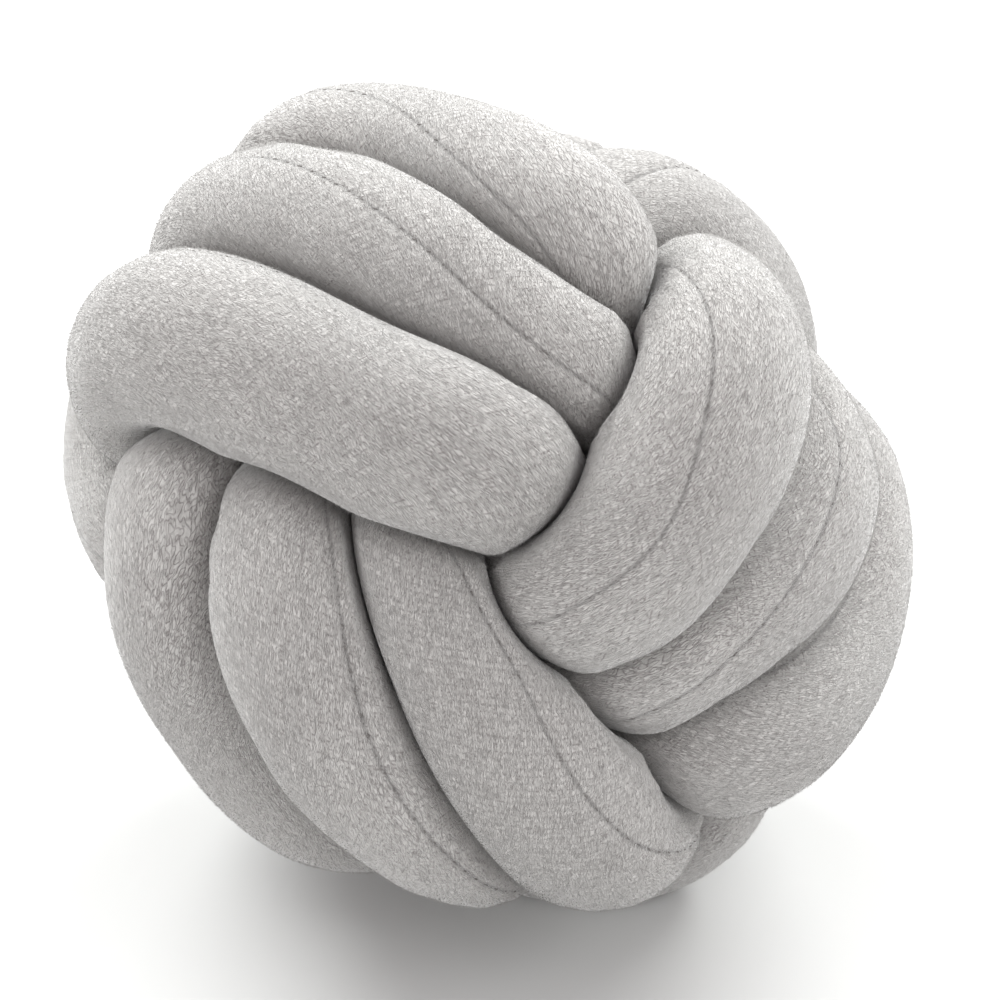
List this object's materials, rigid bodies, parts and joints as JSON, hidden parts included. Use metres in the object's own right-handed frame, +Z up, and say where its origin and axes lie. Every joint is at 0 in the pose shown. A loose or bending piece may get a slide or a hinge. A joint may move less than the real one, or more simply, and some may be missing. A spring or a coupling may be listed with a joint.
{
  "type": "knot cushion",
  "caption": "Ball-shaped knot cushion wound from a thick stuffed plush tube in crossing over-and-under turns, resting on a small flat underneath.",
  "frame": {"origin": "middle of the bounding box's bottom face, level with the flat that the cushion rests on", "axes": "+Z up as the cushion rests, -Y towards the side that shows in the picture, +X to the right of that side"},
  "size_m": [0.2684, 0.2702, 0.2633],
  "materials": {
    "plush": "short soft plush pile, matt with a slight sheen at the edges"
  },
  "bodies": {
    "root": {"knotted_tube": "plush"}
  },
  "joints": []
}
